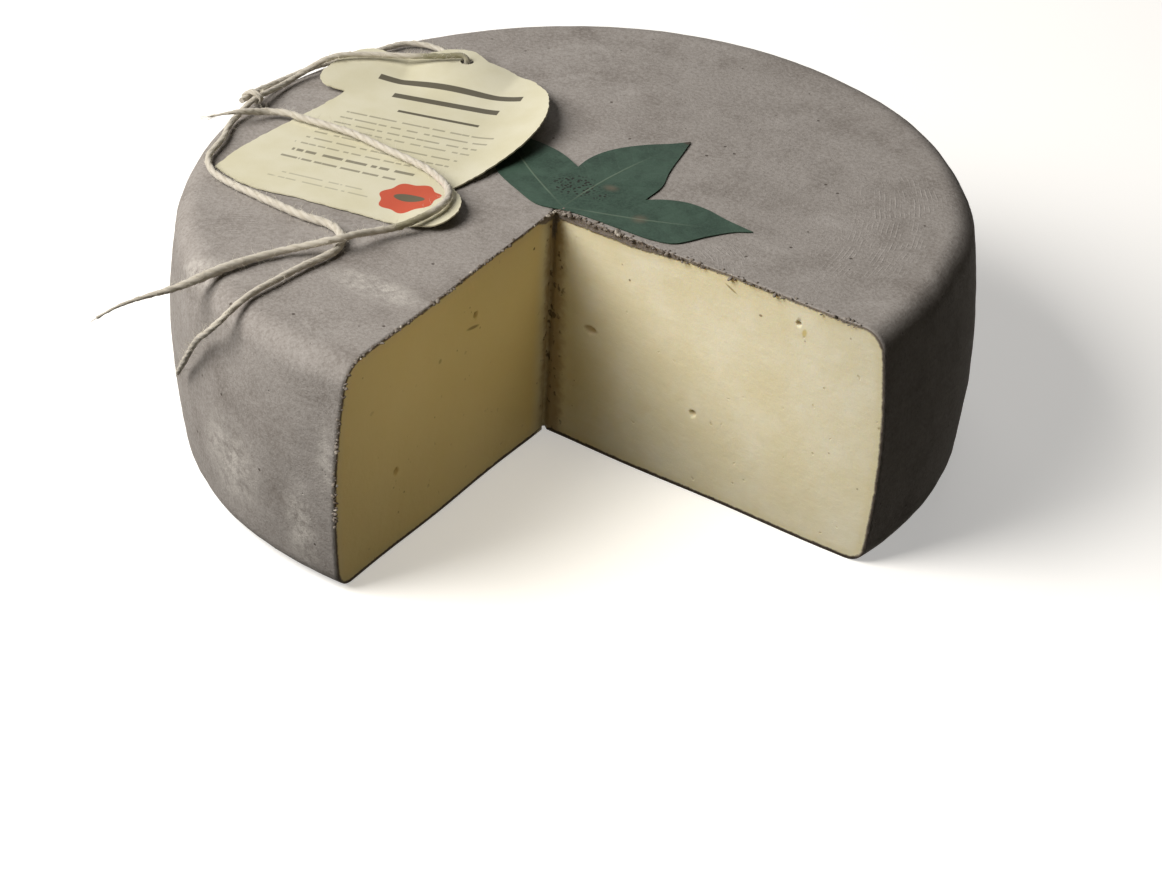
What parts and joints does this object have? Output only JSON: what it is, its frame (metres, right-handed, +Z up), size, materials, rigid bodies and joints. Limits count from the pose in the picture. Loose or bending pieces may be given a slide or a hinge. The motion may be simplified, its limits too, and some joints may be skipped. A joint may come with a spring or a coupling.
{
  "type": "ash-rind truffle cheese wheel",
  "caption": "Thick round cheese wheel in an ash rind with one wedge cut out, topped by a paper tag on twine, a loose twine and a lobed leaf.",
  "frame": {"origin": "centre of the wheel's underside, on the surface that the wheel lies on", "axes": "+Z up along the wheel's axis; the right cut face runs along +X and the left one almost along -Y, so the notch opens between +X and -Y"},
  "size_m": [0.2688, 0.2864, 0.094],
  "materials": {
    "rind": "matt, dusty ash-grey rind with a pale cream paste on the two cut faces",
    "card": null,
    "leaf": "dull blue-green leaf with paler veins",
    "twine": "off-white twisted twine, a little fuzzy"
  },
  "bodies": {
    "root": {"cheese_wheel": "rind", "label_tag": "card", "leaf": "leaf", "tag_twine": "twine", "loose_twine": "twine", "twine_knot": "twine"}
  },
  "joints": []
}
